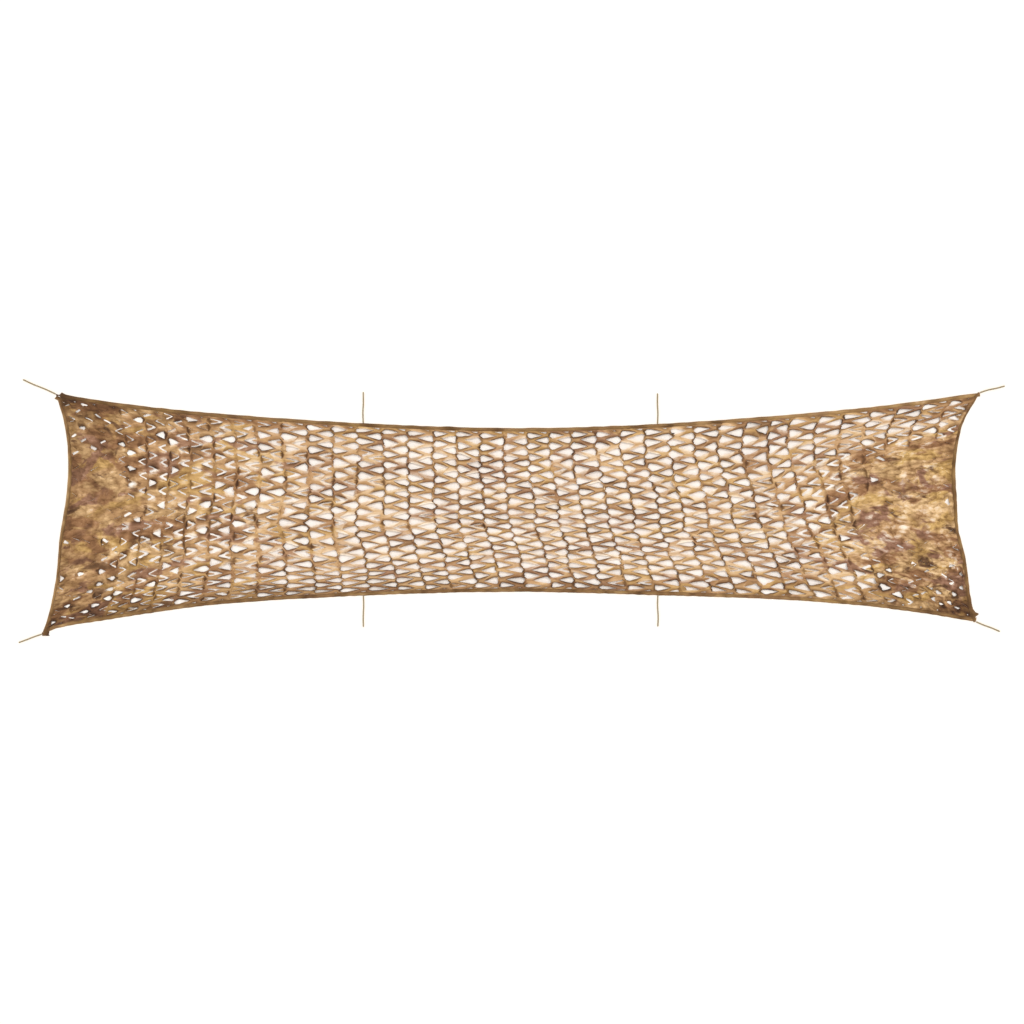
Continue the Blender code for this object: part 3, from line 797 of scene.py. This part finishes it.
def hem_cells(cells, row, inner, rng):
    """The half cells along one long hem: each is a band between its edge and a smaller hole, and their
    points are bilinear blends of its four nodes."""
    k = np.arange(PERIODS)
    corners, flats = [
        np.stack([blunt[k + 1, row], blunt[k + 1, inner], tips[k, row], tips[k, inner]], axis=1)
        for blunt, tips in ((cells.columns, cells.tips), (cells.columns_flat, cells.tips_flat))]
    size = 0.30 + 0.50 * pulled(share_at(corners[:, 0, 0]), row / HALF_ROWS)
    size *= rng.uniform(0.4, 1.0, PERIODS)
    hole = HALF_MIDDLE + size[:, None, None] * (HALF_HOLE - HALF_MIDDLE)
    points, spots, shades = [], [], []
    for depth, loop in enumerate((np.broadcast_to(HALF_EDGE, hole.shape), hole)):
        u, v = loop[..., 0], loop[..., 1]
        weights = np.stack([(1 - u) * (1 - v), (1 - u) * v, u * (1 - v), u * v], axis=-1)
        spot = np.einsum("cpn,cnd->cpd", weights, corners)
        spot[..., 2] += depth * HALF_RIM_LIFT
        points.append(spot)
        spots.append(np.einsum("cpn,cnd->cpd", weights, flats))
        shades.append(np.full(u.shape, (0.85, 0.55)[depth]))
    n = len(HALF_EDGE)
    quads = band_faces(2, n)[None] + (k * 2 * n)[:, None, None]
    if row == 0:
        quads = quads[:, :, ::-1]
    return (np.concatenate(points, axis=1).reshape(-1, 3), np.concatenate(spots, axis=1).reshape(-1, 2),
            np.concatenate(shades, axis=1).ravel(), quads.reshape(-1, 4), NO_TRIANGLES)


def end_strip(cells, side):
    """The closed strip at an end: quads between the outline under the hem and the nearest nodes."""
    half_rows = np.arange(HALF_ROWS + 1)
    row = np.linspace(0, HALF_ROWS, 2 * HALF_ROWS + 1)
    inner, inner_flat = [
        np.stack([np.interp(row, half_rows, values) for values in nodes[side * PERIODS].T], axis=1)
        for nodes in (cells.columns, cells.columns_flat)]
    along = np.full_like(row, side)
    x, y = place(along, across_of(row, along), HEM_WIDTH - HEM_OVERLAP)
    outer = np.stack([x, y, np.full_like(x, HEM_INSIDE)], axis=1)
    outer_flat = np.stack([along * PERIODS * FLAT_PERIOD, row * 0.5 * FLAT_ROW], axis=1)
    n = len(row)
    i = np.arange(n - 1)
    quads = np.stack([i, n + i, n + i + 1, i + 1], axis=1)
    if side == 1:
        quads = quads[:, ::-1]
    return (np.concatenate([outer, inner]), np.concatenate([outer_flat, inner_flat]),
            np.full(2 * n, 0.80), quads, NO_TRIANGLES)


def joined(parts):
    """The parts as one mesh, with points that lie within a hundredth of a millimetre made one."""
    starts = np.cumsum([0] + [len(part[0]) for part in parts])
    points, flat, shade = [np.concatenate([part[i] for part in parts]) for i in range(3)]
    quads, tris = [np.concatenate([part[i] + start for part, start in zip(parts, starts)]) for i in (3, 4)]
    keys = np.round(points / 1e-5).astype(np.int64)
    _, first, back = np.unique(keys, axis=0, return_index=True, return_inverse=True)
    back = back.ravel()
    return points[first], flat[first], shade[first], back[quads], back[tris]


def netting_mesh():
    """Points, faces, flat positions and shades of the whole slit cloth, and how crumpled it is: sine
    waves make low creases everywhere and crumple its closed ends, which get painted light and shade on
    their crumples and are darker too."""
    rng = np.random.default_rng(SEED)
    cells = Cells(rng)
    parts = [whole_cells(cells, rng), hem_cells(cells, 0, 1, rng),
             hem_cells(cells, HALF_ROWS, HALF_ROWS - 1, rng), end_strip(cells, 0), end_strip(cells, 1)]
    points, flat, shade, quads, tris = joined(parts)
    x, y = points[:, :2].T
    across = np.clip(flat[:, 1] / (ROWS * FLAT_ROW), 0, 1)
    closed = 1.0 - pulled(share_at(x), across)
    lift = CREASE_HEIGHT * ripple(x, y, CREASE) + (0.0010 + 0.0045 * closed) * ripple(x, y, CRUMPLE)
    inside = ramp(points[:, 2], CLOTH_LOWEST, 0.0040)
    points[:, 2] = np.maximum(points[:, 2] + (lift + 0.002 * closed) * inside, CLOTH_LOWEST)
    # painted light and shade: crumples lighter on their ridges and darker in their hollows, and streaks
    streaks = ripple(0.4 * x, y, STREAKS).clip(-1.6, 1.6)
    shade *= 1.0 + (0.03 + 0.07 * closed) * ripple(x, y, CRUMPLE).clip(-1.5, 1.5)
    shade *= 1.0 + (0.02 + 0.20 * closed * (0.70 - 0.30 * np.tanh(2.0 * x))) * streaks
    # darker by the lower and by the upper hem, and once more by the left part of the lower one
    shade *= 1.0 - 0.22 * ramp(-across, -0.16, -0.02) - 0.18 * ramp(across, 0.86, 0.97)
    low_left = ramp(-across, -0.14, -0.02) * ramp(x, -2.95, -2.60) * (1.0 - ramp(x, -2.1, -0.8))
    shade *= 1.0 - LOW_LEFT_DARK * low_left
    # patchy at the right end
    shade *= 1.0 + 0.12 * closed * ramp(x, 1.0, 2.4) * ripple(x, y, SAG).clip(-1.5, 1.5)
    # darker by the end hems, with painted shade in the corners, and darker in the closed cloth as a whole
    from_end = np.minimum(flat[:, 0], PERIODS * FLAT_PERIOD - flat[:, 0])
    shade *= 0.72 + 0.28 * ramp(from_end, 0.02, 0.09)
    for corner_x, corner_y, dark in CORNERS:
        away = np.hypot(x - corner_x, CORNER_SQUASH * (y - corner_y))
        shade *= 1.0 - dark * np.exp(-away / CORNER_REACH)
    shade *= 1.0 - LEFT_DARK * closed * ramp(-x, -1.0, 1.0) - RIGHT_DARK * closed * ramp(x, -1.0, 1.0)
    return points, quads, tris, flat, shade, closed * (0.90 + 0.15 * np.tanh(2.0 * x))


def add_netting():
    """The slit cloth as one sheet."""
    points, quads, tris, flat, shade, closed = netting_mesh()
    net = mesh_object("netting_cloth", points, quads.tolist() + tris.tolist(), CLOTH)
    set_uv(net.data, "print", flat)
    set_value(net.data, "shade", shade)
    set_value(net.data, "crumpled", closed)
    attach(net, "root")
    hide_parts("netting")
    return net


netting = add_netting()

# -------- hem
# Profile of the folded band: share of its width from the outer edge, and height
HEM_PROFILE = np.array([(0.00, 0.0020), (0.03, 0.0034), (0.15, 0.0040), (0.45, 0.0041), (0.72, 0.0040),
                        (0.80, 0.0030), (0.88, 0.0039), (0.97, 0.0034), (1.00, 0.0020), (0.97, 0.0006),
                        (0.50, 0.0004), (0.03, 0.0006)])
HEM_STEP = 0.006
HEM_LOWEST = 0.0003
HEM_WOBBLE = 0.0011
UNDERSIDE = [0.5, 0.5, 0.5]       # shades of the profile's last points


def along_run(at, length, stations):
    """Values at distances along a run from (distance, value) stations; a distance below 0 counts back
    from the end of the run."""
    places, values = np.array(stations, float).T
    return np.interp(at, np.where(places < 0, length + places, places), values)


def add_hem(name, along, across, height, seed, widths, lights, tones, spurs=((0, 0),), last=(0, 0)):
    """Folded band: HEM_PROFILE carried along the outline, inwards from it, with an uneven edge in waves
    that seed picks, and its heights times height. It runs on by last (x, y) at its end. widths and
    lights are stations of its width and its lightness, spurs are stations of how far its outer edge
    sticks out, and tones are the shades of its upper face from the outer edge to the inner one."""
    x, y = place(along, across, 0.0)
    x = np.append(x, x[-1] + last[0])
    y = np.append(y, y[-1] + last[1])
    run = distances(x, y)
    count = int(run[-1] / HEM_STEP)
    at = np.linspace(0.0, run[-1], count)
    x, y = np.interp(at, run, x), np.interp(at, run, y)
    width = HEM_WIDTH * along_run(at, run[-1], widths)
    light = along_run(at, run[-1], lights)
    spur = along_run(at, run[-1], spurs)
    inward = left_of(x, y)
    wobble = HEM_WOBBLE * ripple(at, 0 * at, waves_of(8, 0.05, 0.40, seed))
    pucker = 1.0 + 0.16 * ripple(at, 0 * at + 3.0, waves_of(8, 0.025, 0.09, seed + 1))
    n = len(HEM_PROFILE)
    share, heights = HEM_PROFILE.T
    depth = wobble[:, None] + width[:, None] * share - spur[:, None] * (1.0 - share)
    z = height * heights * pucker[:, None]
    points = np.stack([x[:, None] + inward[:, 0:1] * depth, y[:, None] + inward[:, 1:2] * depth,
                       np.maximum(z, HEM_LOWEST)], axis=2).reshape(-1, 3)
    caps = [list(range(n)), list(range((count - 1) * n, count * n))[::-1]]
    hem = mesh_object(name, points, band_faces(count, n)[:, [0, 3, 2, 1]].tolist() + caps, HEM_CLOTH)
    uv = np.stack(np.broadcast_arrays(at[:, None] + seed, HEM_WIDTH * share), axis=2)
    set_uv(hem.data, "print", uv.reshape(-1, 2))
    tone = np.array(list(tones) + UNDERSIDE)
    patchy = 1.0 + 0.22 * ripple(at, 0 * at, waves_of(8, 0.06, 0.30, seed + 2))
    set_value(hem.data, "shade", (tone * (patchy * light)[:, None]).ravel())
    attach(hem, "root")
    return hem


STEPS = np.linspace(0.0, 1.0, 800)
hems = [
    add_hem("hem_lower", STEPS, 0.0 * STEPS, 1.0, 11,
            widths=[(0.0, 0.35), (0.08, 1.0), (-0.05, 1.0), (-0.001, 1.1)],
            lights=[(0.0, 1.00), (0.06, 1.50), (0.16, 1.25), (0.40, 0.95), (3.90, 1.0), (4.30, 1.25),
                    (5.10, 1.20), (5.50, 0.95), (-0.001, 1.10)],
            tones=(0.45, 0.48, 0.56, 0.60, 0.56, 0.46, 0.52, 0.50, 0.50)),
    add_hem("hem_upper", STEPS[::-1], 0.0 * STEPS + 1.0, 1.0, 21,
            widths=[(0.0, 0.9), (0.05, 1.0), (-0.05, 1.0), (-0.034, 0.85), (-0.026, 0.30), (-0.001, 0.25)],
            lights=[(0.0, 1.60), (0.10, 1.65), (0.80, 1.45), (1.80, 1.20), (2.50, 0.95), (-0.40, 0.90),
                    (-0.20, 0.70), (-0.12, 0.42)],
            spurs=[(-0.14, 0.0), (-0.06, 0.008), (-0.034, 0.018), (-0.024, 0.0)],
            tones=(0.50, 0.52, 0.58, 0.62, 0.56, 0.44, 0.52, 0.52, 0.52)),
    add_hem("hem_right", 0.0 * STEPS + 1.0, STEPS, 1.1, 31,
            widths=[(0.0, 0.6), (0.03, 1.1), (0.10, 1.0), (-0.12, 1.2), (-0.03, 0.8), (-0.001, 0.4)],
            lights=[(0.0, 0.95), (0.03, 0.50), (0.055, 0.50), (0.09, 1.0), (0.50, 1.1), (0.90, 1.0),
                    (1.20, 0.85), (-0.20, 0.70), (-0.08, 0.75), (-0.03, 1.2), (-0.001, 1.3)],
            spurs=[(0.030, 0.0), (0.045, 0.034), (0.060, 0.012), (0.085, 0.0)],
            tones=(0.56, 0.58, 0.60, 0.54, 0.46, 0.38, 0.46, 0.46, 0.46)),
    add_hem("hem_left", 0.0 * STEPS, STEPS[::-1], 1.1, 41, last=(0.0, -0.012),
            widths=[(0.0, 0.25), (0.016, 0.30), (0.030, 1.0), (-0.20, 1.0), (-0.12, 1.25), (-0.05, 1.5),
                    (-0.001, 1.9)],
            lights=[(0.0, 0.60), (0.05, 0.75), (0.15, 1.0), (-0.30, 1.0), (-0.10, 0.85), (-0.001, 0.60)],
            spurs=[(0.014, 0.0), (0.024, 0.018), (0.042, 0.0)],
            tones=(0.64, 0.68, 0.78, 0.62, 0.46, 0.34, 0.38, 0.38, 0.38)),
]


# -------- floor and light
def add_floor():
    """Plain pale floor."""
    material, tree, shader = new_material("floor", 0.9)
    feed(tree, shader, {"Base Color": (1.0, 0.93, 0.86, 1.0), "Specular IOR Level": 0.0})
    side = 30.0
    floor = mesh_object("floor", [(-side, -side, 0), (side, -side, 0), (side, side, 0), (-side, side, 0)],
                        [(0, 1, 2, 3)], material)


def add_key_light(tilt, turn, softness, strength):
    """Broad soft light from one side and above, the same all over the floor, with angles in degrees."""
    light = bpy.data.lights.new("key", "SUN")
    light.angle = math.radians(softness)
    light.energy = strength
    new_object("key", light).rotation_euler = (math.radians(tilt), 0.0, math.radians(turn))


def add_world(strength):
    """Even white surroundings."""
    world = bpy.data.worlds.new("studio")
    world.use_nodes = True
    tree = world.node_tree
    feed(tree, tree.nodes["Background"], {"Color": (1.0, 1.0, 1.0, 1.0), "Strength": strength})
    bpy.context.scene.world = world


add_floor()
add_world(0.88)
add_key_light(tilt=-22.0, turn=-30.0, softness=26.0, strength=1.06)
bpy.context.scene.view_settings.view_transform = "Standard"
